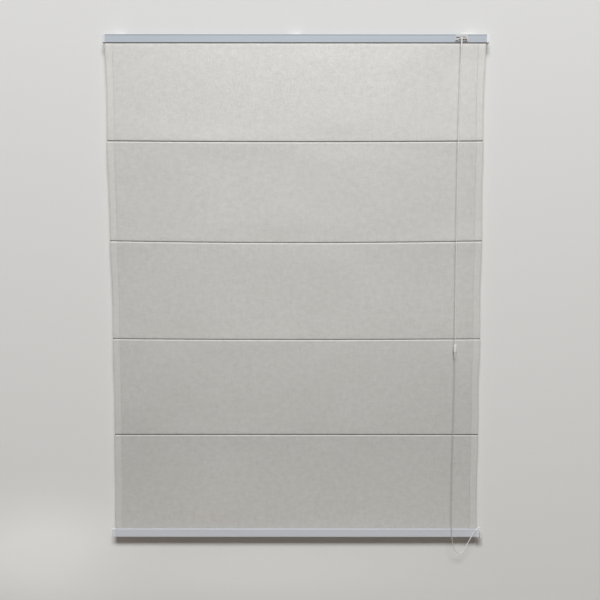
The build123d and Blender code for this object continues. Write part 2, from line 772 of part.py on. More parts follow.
with BuildPart() as condenser_cap:
    thread_top_z = condenser_bottom_z + condenser_cap_length / 3
    thread_x = condenser_x + condenser_radius - condenser_wall
    with BuildSketch(Plane.XZ.offset(-strand_y)):
        with BuildLine():
            Polyline(
                (condenser_x, cap_foot_z),
                (condenser_x + condenser_tip_radius, cap_foot_z),
                (condenser_x + condenser_cap_radius, condenser_bottom_z - condenser_wall),
                (condenser_x + condenser_cap_radius, condenser_bottom_z),
                (thread_x, condenser_bottom_z),
                (thread_x, thread_top_z),
                (condenser_x, thread_top_z),
                close=True,
            )
        make_face()
    revolve(axis=Axis((condenser_x, strand_y, 0), (0, 0, 1)))
save(condenser_cap, "condenser_cap")


def cord_route(points, bends=None):
    """Straight runs joined by tangent arcs, as large as the runs allow unless a bend is given."""
    radii = []
    for i in range(1, len(points) - 1):
        before = Vector(*points[i]) - Vector(*points[i - 1])
        after = Vector(*points[i + 1]) - Vector(*points[i])
        half_turn = radians(before.get_angle(after) / 2)
        largest = 0.45 * min(before.length, after.length) / tan(half_turn)
        radii.append((bends or {}).get(points[i], largest))
    with BuildLine():
        route = FilletPolyline(*points, radius=radii)
    print(f"cord length {route.length:.1f} mm, radii", [round(r, 1) for r in radii])
    return route


# Lift cords: up behind the ribs, over the guides, along the rail, through the lock and down the front
strand_end_z = condenser_top_z - condenser_length / 2
for column_name, column_x, lane in columns:
    knot_z = anchor_bottom - knot_radius
    lane_offset = lane * lane_pitch
    guide_corner = (column_x, lane_y(lane), cord_run_z)
    turn_corner = (lock_x, turn_y, lane_z(lane))
    exit_corner = (lock_x + lane_offset, strand_y, cord_run_z)
    approach_x = turn_axis_x - 2 * turn_radius
    spread_x = column_pitch + 3 * guide_turn
    # The cords lie side by side on the guides, one over the other on the turning roller,
    # and side by side again on the exit roller. The outer two swing round the middle one.
    stacking_y = lane_y(lane) + (turn_y - lane_y(lane)) / 4
    stacking = [((spread_x + approach_x) / 2, stacking_y, fan_z(lane))]
    fanning = [
        (lock_x, fan_start_y, lane_z(lane)),
        (lock_x + lane * fan_offset, (fan_start_y + fan_end_y) / 2, fan_z(lane)),
        (lock_x + lane_offset, fan_end_y, cord_run_z),
    ]
    lift_points = [
        (column_x, lane_y(lane), knot_z),
        guide_corner,
        (spread_x, lane_y(lane), cord_run_z),
        *(stacking if lane else []),
        (approach_x, turn_y, lane_z(lane)),
        turn_corner,
        *(fanning if lane else []),
        exit_corner,
        (condenser_x - strand_bow + lane_offset, strand_y, strand_bow_z),
        (condenser_x + lane_offset, strand_y, strand_end_z),
    ]
    pulley_bends = {guide_corner: guide_turn, turn_corner: turn_radius, exit_corner: exit_radius}
    with BuildPart() as lift_cord:
        lift_route = cord_route(lift_points, pulley_bends)
        with BuildSketch(Plane(origin=lift_route @ 0, z_dir=lift_route % 0)):
            Circle(cord_radius)
        sweep(path=lift_route)
        with Locations((column_x, lane_y(lane), knot_z)):
            Sphere(knot_radius)
    save(lift_cord, f"lift_cord_{column_name}")

# Pull cord: down in front of the bar, in a loop below it, and back over the bar's right end
pull_points = [(condenser_x, strand_y, cap_foot_z)]
for along, behind, above in pull_route_points:
    pull_points.append((blind_end + along, bar_front + behind, bar_top + above))
with BuildPart() as pull_cord:
    pull_route = cord_route(pull_points)
    with BuildSketch(Plane(origin=pull_route @ 0, z_dir=pull_route % 0)):
        Circle(pull_cord_radius)
    sweep(path=pull_route)
save(pull_cord, "pull_cord")

# Tassel: a bell turned about the end of the pull cord
tassel_x, tassel_y, tassel_top = pull_points[-1]
with BuildPart() as tassel:
    tassel_bottom = tassel_top - tassel_length
    with BuildSketch(Plane.XZ.offset(-tassel_y)):
        with BuildLine():
            neck = (tassel_x + tassel_neck_radius, tassel_top)
            belly = (tassel_x + tassel_radius, tassel_bottom + tassel_length / 4)
            foot = (tassel_x + tassel_radius - tassel_wall, tassel_bottom)
            Spline(neck, belly, foot, tangents=(tassel_neck_slope, tassel_foot_slope))
            Polyline(
                foot,
                (tassel_x + tassel_radius - 2 * tassel_wall, tassel_bottom),
                (tassel_x, tassel_bottom + tassel_length / 3),
                (tassel_x, tassel_top),
                neck,
            )
        make_face()
    revolve(axis=Axis((tassel_x, tassel_y, 0), (0, 0, 1)))
save(tassel, "tassel")
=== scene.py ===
# A cord-operated roman blind on a pale wall: cloth, rib rods, cords and finishes round the solid model.
# The wall is the plane y = 0, the room lies towards -y, and z = 0 is the height of the bracket screws.
# Lengths are in metres.
import math

import bmesh
import bpy
from mathutils import Matrix, Vector, noise


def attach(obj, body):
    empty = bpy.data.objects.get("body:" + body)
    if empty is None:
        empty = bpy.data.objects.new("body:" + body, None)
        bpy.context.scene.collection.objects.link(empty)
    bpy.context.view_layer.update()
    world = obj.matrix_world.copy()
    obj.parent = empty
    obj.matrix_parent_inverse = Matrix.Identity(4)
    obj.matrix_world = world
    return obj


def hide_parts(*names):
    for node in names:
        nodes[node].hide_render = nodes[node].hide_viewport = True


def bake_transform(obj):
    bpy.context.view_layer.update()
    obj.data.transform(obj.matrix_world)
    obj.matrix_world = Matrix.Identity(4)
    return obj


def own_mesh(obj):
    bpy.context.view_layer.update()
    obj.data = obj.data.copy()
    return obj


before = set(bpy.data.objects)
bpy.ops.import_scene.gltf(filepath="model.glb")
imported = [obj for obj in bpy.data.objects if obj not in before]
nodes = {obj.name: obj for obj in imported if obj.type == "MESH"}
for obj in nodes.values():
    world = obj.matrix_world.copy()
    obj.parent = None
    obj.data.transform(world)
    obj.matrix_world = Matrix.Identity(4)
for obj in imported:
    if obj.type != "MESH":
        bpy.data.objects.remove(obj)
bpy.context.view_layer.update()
scene = bpy.context.scene

# Camera: place, and degrees of turn, tilt and roll from a level view of the wall
CAMERA_PLACE = (0.0133, -1.9349, -0.6843)
CAMERA_TURN = -0.003
CAMERA_TILT = -3.834
CAMERA_ROLL = -0.028

# Head rail and bottom bar
BLIND_WIDTH = 1.2
RAIL_FOOT = -0.0125
RAIL_FRONT = -0.0270
REED_Z = 0.0103
REED_HALF = 0.00065
BAR_HEAD = -1.5625

# Cord lock: its face, its mouth with a bridge across it, its tab, and two slots beside the mouth, with
# painted shade in the mouth and slots and painted light on the tab
LOCK_FRONT = -0.0286
LOCK_MOUTH_X = 0.5165
LOCK_MOUTH_HALF = 0.0108
LOCK_MOUTH_TOP = 0.0045
LOCK_BRIDGE_Z = -0.0038
LOCK_BRIDGE_HALF = 0.0020
LOCK_TAB_FOOT = 0.0122
LOCK_SLOT_SHADOWS = ((0.5012, 0.0023, 0.0050, 0.0016), (0.4980, -0.0070, 0.0030, 0.0014))

# Ribs from the top down: heights, how far their middles sag, and the rods in them
RIB_HEIGHTS = (-0.3125, -0.625, -0.9375, -1.25)
RIB_SAGS = (0.0025, 0.0056, 0.0026, -0.0002)
ROD_Y = -0.0192
ROD_RADIUS = 0.0020
ROD_HALF = 0.580

# Cloth: plane, half width, side hems and their seams, thread pitch, stitches, and one small stain
CLOTH_Y = -0.0240
CLOTH_HALF = 0.590
CLOTH_THICKNESS = 0.00075
HEM = 0.023
SEAM_X = 0.5675
SEAM_HALF = 0.0009
THREAD_PITCH = 0.00085
STITCH_PITCH = 0.0034
STITCH_HALF = 0.0003
STAIN = (-0.585, -0.118)
STAIN_RADIUS = 0.0018

# Grooves at the ribs: where the cloth turns into one above and below the rib, and the throat in it, painted
# dark as shade
GROOVE_RISE = 0.0017
GROOVE_DROP = 0.0039
THROAT_HALF = 0.0021
THROAT_FADE = 0.0005
THROAT_FRONT = CLOTH_Y + 0.0012
THROAT_BACK = ROD_Y - 0.0014

# Steps back and up from a panel's foot, and from its top, into the groove
UPPER_LIP = ((0.0004, -0.0003), (0.0006, -0.0001), (0.0009, 0.0))
LOWER_LIP = ((0.0004, 0.0009), (0.0007, 0.0009), (0.0007, 0.0006), (0.0003, 0.0002))

# How far each panel's left and right side stands outside the cloth's line, at its top and its foot
SIDE_REACH = {
    -1: ((0.0035, 0.0015), (0.0040, -0.0015), (-0.0005, -0.0040), (-0.0030, -0.0045), (-0.0020, 0.0005)),
    1: ((0.0005, -0.0030), (-0.0010, 0.0005), (0.0005, 0.0003), (0.0010, 0.0003), (0.0008, 0.0015)),
}

# Painted shade: how light each panel is painted at its top and its foot
PAINTED_PANEL_SHADES = ((1.0, 1.0), (0.91, 0.95), (0.90, 0.92), (0.88, 0.825), (0.785, 0.885))

# Lift cords: their columns, and the lanes in which they run side by side inside the rail
COLUMNS = (("left", -0.450, -1), ("centre", 0.0, 0), ("right", 0.450, 1))
CORD_RADIUS = 0.0007
CORD_Z = 0.0022
CORD_FOOT = -1.5818
LANE = 0.0018
LANE_MID_Y = -0.0113
FAN_START_X = 0.465
FAN_END_X = 0.4999
PULLEY_STEP = 0.0084
LOCK_X = 0.5125
LOCK_LANE_Y = -0.0104
FAN_OUT_Y = -0.0229

# Front strands below the lock: x, height, and the shares of a lane's offset kept sideways and in depth
STRAND_Y = -0.0338
CONDENSER_X = 0.5083
STRAND_ROUTE = (
    (0.5122, -0.020, 0.8, 0.8),
    (0.5118, -0.042, 0.1, 1.0),
    (0.5052, -0.405, 0.1, 1.0),
    (CONDENSER_X, -0.966, 0.1, 1.0),
)

# Pull cord: from the condenser, in front of the bar, in a loop below it and over its right end
PULL_RADIUS = 0.0010
PULL_ROUTE = (
    (0.5083, -0.0338, -0.9960),
    (0.5099, -0.0338, -1.1360),
    (0.5070, -0.0336, -1.3160),
    (0.5060, -0.0332, -1.4800),
    (0.5082, -0.0328, -1.5730),
    (0.5115, -0.0326, -1.6060),
    (0.5180, -0.0326, -1.6300),
    (0.5310, -0.0326, -1.6435),
    (0.5450, -0.0326, -1.6375),
    (0.5570, -0.0326, -1.6160),
    (0.5690, -0.0326, -1.5930),
    (0.5800, -0.0324, -1.5730),
    (0.5885, -0.0318, -1.5620),
    (0.5940, -0.0290, -1.5576),
    (0.6005, -0.0260, -1.5576),
    (0.6062, -0.0240, -1.5610),
    (0.6062, -0.0240, -1.5690),
)

# The cord is darker below one height, and paler again past the loop
DARKER_CORD_Z = -0.985
PALER_CORD_X = 0.536

# Floor, and pools of light thrown back onto the wall near it: place, half width, half height and colour
FLOOR_Z = -2.05
WALL_POOLS = (
    (-0.84, -1.655, 0.52, 0.29, (0.875, 0.875, 0.865)),
    (-0.15, -1.715, 0.90, 0.17, (0.775, 0.775, 0.765)),
)


def clamp(t):
    return min(1.0, max(0.0, t))


def soft_step(t):
    """0 to 1 with a gentle start and end."""
    return t * t * (3 - 2 * t)


# Camera
def make_camera():
    lens = bpy.data.cameras.new("camera")
    lens.sensor_width = 36.0
    lens.lens = 36.0
    lens.clip_end = 60.0
    camera = bpy.data.objects.new("camera", lens)
    scene.collection.objects.link(camera)
    camera.location = CAMERA_PLACE
    turn = Matrix.Rotation(math.radians(CAMERA_TURN), 3, "Z")
    turn @= Matrix.Rotation(math.radians(CAMERA_TILT), 3, "X")
    turn @= Matrix.Rotation(math.radians(CAMERA_ROLL), 3, "Y")
    level = Matrix(((1, 0, 0), (0, 0, -1), (0, 1, 0)))
    camera.rotation_mode = "QUATERNION"
    camera.rotation_quaternion = (turn @ level).to_quaternion()
    scene.camera = camera


make_camera()


# Helpers for new pieces
def place_mesh(name, mesh, material, smooth=True):
    """Give a finished mesh its material, and set it in the scene as a piece at the origin."""
    mesh.name = name
    mesh.materials.clear()
    mesh.materials.append(material)
    mesh.polygons.foreach_set("use_smooth", [smooth] * len(mesh.polygons))
    piece = bpy.data.objects.new(name, mesh)
    scene.collection.objects.link(piece)
    return piece


def new_piece(name, bm, material, smooth=True):
    mesh = bpy.data.meshes.new(name)
    bm.to_mesh(mesh)
    bm.free()
    return place_mesh(name, mesh, material, smooth)


def stand_in(piece, node, body=None):
    """Let a piece stand for a node and the body that it rides on."""
    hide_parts(node)
    if body:
        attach(piece, body)


def spline_mesh(name, points, radius):
    """The mesh of one open NURBS spline over a cord's route: a tube, or a bare line at radius 0."""
    curve = bpy.data.curves.new(name, "CURVE")
    curve.dimensions = "3D"
    curve.resolution_u = 12
    curve.bevel_depth = radius
    curve.bevel_resolution = 3
    curve.use_fill_caps = radius > 0
    spline = curve.splines.new("NURBS")
    spline.points.add(len(points) - 1)
    for point, place in zip(spline.points, points):
        point.co = (*place, 1.0)
    spline.order_u = 3
    spline.use_endpoint_u = True
    return bpy.data.meshes.new_from_object(bpy.data.objects.new(name, curve))


def cord_tube(name, points, radius):
    """A cord as a mesh tube, the points of the line that it follows, and its length."""
    path = [tuple(v.co) for v in spline_mesh(name + "_line", points, 0.0).vertices]
    length = sum((Vector(b) - Vector(a)).length for a, b in zip(path, path[1:]))
    piece = place_mesh(name, spline_mesh(name + "_tube", points, radius), WHITE_CORD)
    return piece, path, length


# Materials
class Nodes:
    """A node tree, with short calls for the nodes that this scene uses."""

    def __init__(self, tree):
        self.tree = tree

    def node(self, kind, **settings):
        made = self.tree.nodes.new("ShaderNode" + kind)
        for key, value in settings.items():
            setattr(made, key, value)
        return made

    def link(self, source, target):
        self.tree.links.new(source, target)

    def place(self, scale=(1, 1, 1), uv=None):
        """Coordinates in metres, stretched by scale: the piece's own, or its UV map's."""
        if uv:
            source = self.node("UVMap", uv_map=uv).outputs["UV"]
        else:
            source = self.node("TexCoord").outputs["Object"]
        mapping = self.node("Mapping")
        mapping.inputs["Scale"].default_value = scale
        self.link(source, mapping.inputs["Vector"])
        return mapping.outputs["Vector"]

    def axes(self, place):
        """A place's X, Y and Z."""
        made = self.node("SeparateXYZ")
        self.link(place, made.inputs["Vector"])
        return made.outputs

    def distance(self, place, point):
        made = self.node("VectorMath", operation="DISTANCE")
        self.link(place, made.inputs[0])
        made.inputs[1].default_value = point
        return made.outputs["Value"]

    def noise(self, place, detail=2.0, roughness=0.5):
        made = self.node("TexNoise")
        made.inputs["Scale"].default_value = 1.0
        made.inputs["Detail"].default_value = detail
        made.inputs["Roughness"].default_value = roughness
        self.link(place, made.inputs["Vector"])
        return made.outputs["Fac"]

    def math(self, operation, *values):
        made = self.node("Math", operation=operation)
        for socket, value in zip(made.inputs, values):
            if isinstance(value, (int, float)):
                socket.default_value = value
            else:
                self.link(value, socket)
        return made.outputs["Value"]

    def product(self, first, *others):
        """Masks and shares multiplied together."""
        for other in others:
            first = self.math("MULTIPLY", first, other)
        return first

    def near(self, value, middle, reach):
        """1 within reach of the middle, 0 elsewhere."""
        off = self.math("ABSOLUTE", self.math("SUBTRACT", value, middle))
        return self.math("LESS_THAN", off, reach)

    def spread(self, value, low, high):
        """A texture's 0 to 1 spread to another range."""
        made = self.node("MapRange")
        made.inputs["To Min"].default_value = low
        made.inputs["To Max"].default_value = high
        self.link(value, made.inputs["Value"])
        return made.outputs["Result"]

    def ramp(self, value, *stops):
        """A colour ramp: stops are (place, colour), or (place, grey)."""
        made = self.node("ValToRGB")
        elements = made.color_ramp.elements
        while len(elements) < len(stops):
            elements.new(0.5)
        for element, (place, colour) in zip(elements, stops):
            element.position = place
            colour = colour if isinstance(colour, tuple) else (colour,) * 3
            element.color = (*colour, 1.0)
        self.link(value, made.inputs["Fac"])
        return made.outputs["Color"]

    def mix(self, blend, factor, a, b):
        made = self.node("Mix", data_type="RGBA", blend_type=blend)
        for socket, value in ((made.inputs[0], factor), (made.inputs[6], a), (made.inputs[7], b)):
            if isinstance(value, (int, float)):
                socket.default_value = value
            elif isinstance(value, tuple):
                socket.default_value = (*value, 1.0)
            else:
                self.link(value, socket)
        return made.outputs[2]

    def darken(self, colour, *shades):
        """A colour multiplied by each shade in turn."""
        for shade in shades:
            colour = self.mix("MULTIPLY", 1.0, colour, shade)
        return colour

    def cover(self, colour, mask, other):
        """A colour with another laid over it, as strongly as the mask says."""
        return self.mix("MIX", mask, colour, other)

    def bump(self, height, strength, distance, over=None):
        made = self.node("Bump")
        made.inputs["Strength"].default_value = strength
        made.inputs["Distance"].default_value = distance
        self.link(height, made.inputs["Height"])
        if over:
            self.link(over, made.inputs["Normal"])
        return made.outputs["Normal"]

    def seen(self):
        """1 for what is looked at, straight or in a gloss or glass, and 0 for light that falls on things."""
        ray = self.node("LightPath").outputs
        seen = self.math("MAXIMUM", ray["Is Camera Ray"], ray["Is Glossy Ray"])
        return self.math("MAXIMUM", seen, ray["Is Transmission Ray"])

    def show(self, output, mask, first, second):
        """Send the first shader to the output, and the second where the mask is 1."""
        choose = self.node("MixShader")
        self.link(mask, choose.inputs["Fac"])
        self.link(first.outputs[0], choose.inputs[1])
        self.link(second.outputs[0], choose.inputs[2])
        self.link(choose.outputs["Shader"], self.tree.nodes[output].inputs["Surface"])


class Finish(Nodes):
    """A material of one shader."""

    def __init__(self, name):
        self.material = bpy.data.materials.new(name)
        self.material.use_nodes = True
        super().__init__(self.material.node_tree)
        self.shader = self.tree.nodes["Principled BSDF"]

    def set(self, **values):
        for key, value in values.items():
            self.shader.inputs[key.replace("_", " ")].default_value = value

    def finish(self, colour=None, roughness=None, normal=None):
        for name, value in (("Base Color", colour), ("Roughness", roughness), ("Normal", normal)):
            if value is not None:
                self.link(value, self.shader.inputs[name])
        return self.material


def painted_panel_shades(cloth, drop):
    """Painted shade: each panel painted a shade darker than the one above it. Drop runs from 0 at the rail
    to 1 at the bar.
    """
    edges = (0.0, *RIB_HEIGHTS, BAR_HEAD)
    stops = []
    for top, foot, (top_tone, foot_tone) in zip(edges, edges[1:], PAINTED_PANEL_SHADES):
        stops.append((top / BAR_HEAD + 0.0003, top_tone))
        stops.append((foot / BAR_HEAD - 0.0003, foot_tone))
    return cloth.ramp(drop, *stops)


def painted_groove_shade(cloth, drop):
    """Painted shade: 1 deep in the grooves at the ribs, where the lips shade them."""
    outer = THROAT_HALF + THROAT_FADE
    stops = [(0.0, 0.0)]
    for height in RIB_HEIGHTS:
        for offset, share in ((outer, 0.0), (THROAT_HALF, 1.0), (-THROAT_HALF, 1.0), (-outer, 0.0)):
            stops.append(((height + offset) / BAR_HEAD, share))
    depth = cloth.axes(cloth.place())["Y"]
    sunk = cloth.math("GREATER_THAN", depth, THROAT_FRONT)
    before_rod = cloth.math("LESS_THAN", depth, THROAT_BACK)
    return cloth.product(sunk, before_rod, cloth.ramp(drop, *stops))


def seed_flecks(cloth):
    """A few dark flecks of seed, at the middles of scattered cells."""
    cells = cloth.node("TexVoronoi", feature="F1", distance="EUCLIDEAN")
    cells.inputs["Scale"].default_value = 1.0
    cloth.link(cloth.place((55, 80, 1), "cloth_uv"), cells.inputs["Vector"])
    chance = cloth.node("SeparateColor")
    cloth.link(cells.outputs["Color"], chance.inputs["Color"])
    rare = cloth.math("GREATER_THAN", chance.outputs["Red"], 0.93)
    middle = cloth.math("LESS_THAN", cells.outputs["Distance"], 0.045)
    return cloth.product(rare, middle, 0.45)


def cloth_finish():
    """Cream linen and cotton: plain weave, slubs both ways, mottling, flecks, and hems sewn at the sides."""
    cloth = Finish("cream_cloth_woven")
    flat = cloth.place(uv="cloth_uv")
    place = cloth.axes(flat)
    drop = cloth.math("MULTIPLY", place["Y"], 1 / BAR_HEAD)
    sideways = cloth.math("ADD", cloth.math("MULTIPLY", place["X"], 1 / BLIND_WIDTH), 0.5)
    aside = cloth.math("ABSOLUTE", place["X"])

    turns = math.tau / THREAD_PITCH
    threads = cloth.axes(cloth.place((turns, turns, 1), "cloth_uv"))
    weave = cloth.product(cloth.math("SINE", threads["X"]), cloth.math("SINE", threads["Y"]))
    weft_slubs = cloth.noise(cloth.place((28, 900, 1), "cloth_uv"), 3.0)
    warp_slubs = cloth.noise(cloth.place((900, 22, 1), "cloth_uv"), 3.0)
    slubs = cloth.math("ADD", weft_slubs, warp_slubs)
    mottle = cloth.noise(cloth.place((5.0, 6.5, 1), "cloth_uv"), 4.0, 0.6)
    patches = cloth.noise(cloth.place((50, 62, 1), "cloth_uv"), 3.0, 0.85)

    colour = cloth.ramp(mottle, (0.30, (0.643, 0.634, 0.607)), (0.70, (0.667, 0.659, 0.633)))
    colour = cloth.darken(
        colour,
        cloth.ramp(patches, (0.30, (0.862, 0.860, 0.855)), (0.70, 1.0)),
        cloth.ramp(slubs, (0.70, (0.90, 0.89, 0.87)), (1.0, 1.0)),
        # painted shade: each panel darker than the one above
        painted_panel_shades(cloth, drop),
        # painted shade: darker towards the left and right sides
        cloth.ramp(sideways, (0.0, 0.945), (0.30, 1.0), (0.70, 1.0), (1.0, 0.975)),
    )

    stain = cloth.math("LESS_THAN", cloth.distance(flat, (*STAIN, 0)), STAIN_RADIUS)
    marks = cloth.math("MAXIMUM", seed_flecks(cloth), cloth.product(stain, 0.28))
    doubled = cloth.math("GREATER_THAN", aside, SEAM_X)
    seam = cloth.near(aside, SEAM_X, SEAM_HALF)
    stitch = cloth.math("FRACT", cloth.math("MULTIPLY", place["Y"], 1 / STITCH_PITCH))
    stitch = cloth.product(cloth.math("LESS_THAN", stitch, 0.76), cloth.near(aside, SEAM_X, STITCH_HALF))
    colour = cloth.cover(colour, marks, (0.30, 0.24, 0.17))
    colour = cloth.cover(colour, cloth.product(doubled, 0.25), (0.70, 0.685, 0.655))
    colour = cloth.cover(colour, cloth.product(seam, 0.30), (0.36, 0.35, 0.32))
    colour = cloth.cover(colour, stitch, (0.66, 0.65, 0.62))
    # Painted shade deep in the grooves at the ribs
    colour = cloth.cover(colour, cloth.product(painted_groove_shade(cloth, drop), 0.85), (0.05, 0.048, 0.044))

    sewn = cloth.math("SUBTRACT", cloth.product(stitch, 0.8), cloth.product(seam, 0.6))
    relief = cloth.bump(slubs, 0.35, 0.0004)
    relief = cloth.bump(sewn, 0.8, 0.0004, relief)
    relief = cloth.bump(weave, 0.30, 0.0002, relief)
    cloth.set(Sheen_Weight=0.10, Sheen_Roughness=0.45, Specular_IOR_Level=0.95)
    return cloth.finish(colour, cloth.spread(slubs, 0.64, 0.52), relief)


def cord_finish():
    """Braided polyester cord: greyer below the condenser, and paler again past the loop."""
    cord = Finish("braided_cord_white")
    wave = cord.noise(cord.place((900, 900, 1500)), 1.0)
    place = cord.axes(cord.place())
    darker_below = cord.math("LESS_THAN", place["Z"], DARKER_CORD_Z)
    paler_past_loop = cord.math("GREATER_THAN", place["X"], PALER_CORD_X)
    colour = cord.ramp(wave, (0.3, (0.84, 0.835, 0.81)), (0.7, (0.94, 0.935, 0.91)))
    # Darker below one height, and paler again past the loop
    colour = cord.cover(colour, cord.product(darker_below, 0.5), (0.16, 0.158, 0.15))
    colour = cord.cover(colour, cord.product(paler_past_loop, 0.85), (0.90, 0.895, 0.87))
    cord.set(Specular_IOR_Level=0.3, Sheen_Weight=0.1)
    return cord.finish(colour, cord.spread(wave, 0.55, 0.75), cord.bump(wave, 0.5, 0.0002))


def aluminium_finish(name, low, high):
    """Satin anodised extrusion: die lines along it, soft cloudiness, and painted shade in the rail's reed.
    """
    metal = Finish(name)
    lines = metal.noise(metal.place((0.8, 1400, 1400)), 3.0, 0.6)
    clouds = metal.noise(metal.place((3.0, 30, 30)), 3.0)
    place = metal.axes(metal.place())
    # Painted shade in the rail's reed, where its lip shades the groove
    sunk = metal.math("GREATER_THAN", place["Y"], RAIL_FRONT + 0.0001)
    painted_reed_shade = metal.product(metal.near(place["Z"], REED_Z, REED_HALF), sunk)
    colour = metal.ramp(clouds, (0.3, low), (0.7, high))
    colour = metal.darken(colour, metal.ramp(lines, (0.25, 0.93), (0.75, 1.0)))
    colour = metal.cover(colour, painted_reed_shade, (0.085, 0.090, 0.095))
    metal.set(Metallic=0.08, Specular_IOR_Level=0.35)
    return metal.finish(colour, metal.spread(lines, 0.48, 0.60), metal.bump(lines, 0.12, 0.0001))


def plastic_finish(name, low, high, roughness, specular=0.45, marks=None):
    """Moulded plastic with a fine grain. Marks lays further colours over the plastic's own; on the lock
    these are painted shade and painted light.
    """
    plastic = Finish(name)
    grain = plastic.noise(plastic.place((2500, 2500, 2500)), 2.0)
    haze = plastic.noise(plastic.place((60, 60, 60)), 3.0)
    colour = plastic.ramp(haze, (0.3, low), (0.7, high))
    if marks:
        colour = marks(plastic, colour)
    plastic.set(Specular_IOR_Level=specular)
    spread = plastic.spread(grain, roughness - 0.05, roughness + 0.07)
    return plastic.finish(colour, spread, plastic.bump(grain, 0.15, 0.00005))


def lock_painted_shade_and_light(plastic, colour):
    """Painted shade: dark inside the lock's mouth, above and below its bridge, and in two slots beside it.
    Painted light: the tab is paler.
    """
    place = plastic.axes(plastic.place())
    mouth = plastic.product(
        plastic.math("GREATER_THAN", place["Y"], LOCK_FRONT + 0.0002),
        plastic.near(place["X"], LOCK_MOUTH_X, LOCK_MOUTH_HALF),
        plastic.math("LESS_THAN", place["Z"], LOCK_MOUTH_TOP),
        plastic.math("SUBTRACT", 1.0, plastic.near(place["Z"], LOCK_BRIDGE_Z, LOCK_BRIDGE_HALF)),
    )
    tab = plastic.math("GREATER_THAN", place["Z"], LOCK_TAB_FOOT)
    # Painted shade in the mouth, and painted light on the tab
    colour = plastic.cover(colour, mouth, (0.03, 0.03, 0.032))
    colour = plastic.cover(colour, tab, (0.84, 0.84, 0.83))
    # Slots painted dark as shadow
    for x, z, half_width, half_height in LOCK_SLOT_SHADOWS:
        beside, beneath = plastic.near(place["X"], x, half_width), plastic.near(place["Z"], z, half_height)
        colour = plastic.cover(colour, plastic.product(beside, beneath), (0.03, 0.03, 0.032))
    return colour


def steel_finish(name, colour, roughness):
    """Zinc-plated or bright steel with fine rolling marks."""
    steel = Finish(name)
    marks = steel.noise(steel.place((260, 900, 900)), 3.0, 0.6)
    dull = tuple(0.88 * c for c in colour)
    tint = steel.ramp(marks, (0.3, dull), (0.7, colour))
    steel.set(Metallic=1.0)
    spread = steel.spread(marks, roughness - 0.06, roughness + 0.08)
    return steel.finish(tint, spread, steel.bump(marks, 0.1, 0.00005))


def rod_finish():
    """White glass-fibre rod with its fibres along it."""
    rod = Finish("rib_rod_fibre")
    fibres = rod.noise(rod.place((12, 2200, 2200)), 3.0)
    colour = rod.ramp(fibres, (0.3, (0.66, 0.66, 0.64)), (0.7, (0.76, 0.76, 0.74)))
    return rod.finish(colour, rod.spread(fibres, 0.35, 0.5), rod.bump(fibres, 0.2, 0.0001))


CREAM_CLOTH = cloth_finish()
WHITE_CORD = cord_finish()
# One aluminium in two copies: the rail's is painted darker and bluer than the bar's, as painted shade and a
# painted reflection of the bluish room
RAIL_ALUMINIUM = aluminium_finish("rail_aluminium_satin", (0.435, 0.475, 0.525), (0.457, 0.500, 0.551))
BAR_ALUMINIUM = aluminium_finish("bar_aluminium_satin", (0.566, 0.588, 0.632), (0.594, 0.618, 0.662))
CAP_PLASTIC = plastic_finish("white_plastic_caps", (0.74, 0.745, 0.74), (0.79, 0.79, 0.785), 0.42)
GREY_PLASTIC = plastic_finish("grey_plastic_caps", (0.62, 0.64, 0.66), (0.67, 0.69, 0.71), 0.45)
TASSEL_PLASTIC = plastic_finish("tassel_plastic_cream", (0.62, 0.62, 0.60), (0.67, 0.67, 0.65), 0.45)
GUIDE_PLASTIC = plastic_finish("guide_plastic_white", (0.66, 0.66, 0.65), (0.72, 0.72, 0.71), 0.45)
ROLLER_PLASTIC = plastic_finish("roller_plastic_natural", (0.62, 0.61, 0.57), (0.68, 0.67, 0.63), 0.35)
LOCK_PLASTIC = plastic_finish(
    "lock_plastic_white", (0.53, 0.53, 0.54), (0.58, 0.58, 0.59), 0.38, specular=0.4, marks=lock_painted_shade_and_light
)
SPLINE_PLASTIC = plastic_finish("spline_plastic_clear", (0.60, 0.62, 0.62), (0.66, 0.68, 0.68), 0.30)
ZINC_STEEL = steel_finish("bracket_steel_zinc", (0.66, 0.67, 0.68), 0.34)
PIN_STEEL = steel_finish("pin_steel_bright", (0.70, 0.70, 0.70), 0.22)
ROD_FIBRE = rod_finish()

NODE_FINISHES = {
    RAIL_ALUMINIUM: ("head_rail",),
    BAR_ALUMINIUM: ("bottom_bar",),
    CAP_PLASTIC: ("rail_end_cap_right", "condenser_body"),
    GREY_PLASTIC: ("rail_end_cap_left", "bar_end_cap_left", "bar_end_cap_right"),
    # The condenser's cap takes the tassel's darker plastic: painted shade on the lower, tapered piece of the
    # condenser
    TASSEL_PLASTIC: ("tassel", "condenser_cap"),
    ZINC_STEEL: ("wall_bracket_left", "wall_bracket_centre", "wall_bracket_right"),
    GUIDE_PLASTIC: (
        "cord_anchor_left", "cord_anchor_centre", "cord_anchor_right",
        "cord_guide_left", "cord_guide_centre", "cord_guide_right",
        "cord_rings_1", "cord_rings_2", "cord_rings_3", "cord_rings_4",
    ),
    ROLLER_PLASTIC: (
        "guide_roller_left", "guide_roller_centre", "guide_roller_right",
        "turning_roller", "exit_roller",
    ),
    LOCK_PLASTIC: ("lock_housing", "lock_cam"),
    PIN_STEEL: ("turning_pin", "exit_pin", "cam_pin"),
    SPLINE_PLASTIC: ("top_spline", "bottom_spline"),
}
for finish, names in NODE_FINISHES.items():
    for name in names:
        for material_slot in nodes[name].material_slots:
            material_slot.material = finish


